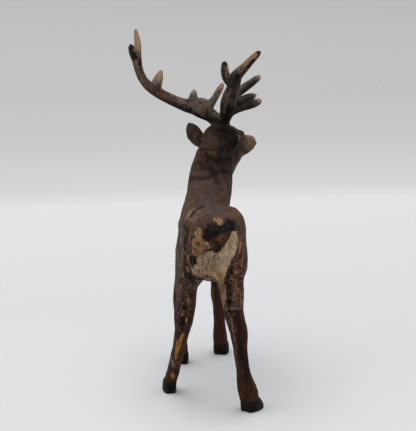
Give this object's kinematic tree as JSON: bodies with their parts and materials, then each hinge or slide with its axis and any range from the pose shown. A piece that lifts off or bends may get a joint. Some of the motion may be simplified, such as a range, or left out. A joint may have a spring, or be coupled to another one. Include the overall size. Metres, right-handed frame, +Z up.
{
  "type": "deer figure",
  "caption": "Cold-painted bronze stag walking with its head turned to its right and branching antlers, standing on its own hooves.",
  "frame": {"origin": "centre of the bounding box's base, on the floor the hooves stand on", "axes": "+Z up, +Y the way the body faces, +X the figure's right side"},
  "size_m": [0.055, 0.101, 0.137],
  "materials": {
    "painted_bronze": "matt brown cold paint over bronze, streaked, with a cream rump, near-black tail, worn spots of bare gold metal and black chips"
  },
  "bodies": {
    "root": {"stag": "painted_bronze"}
  },
  "joints": []
}
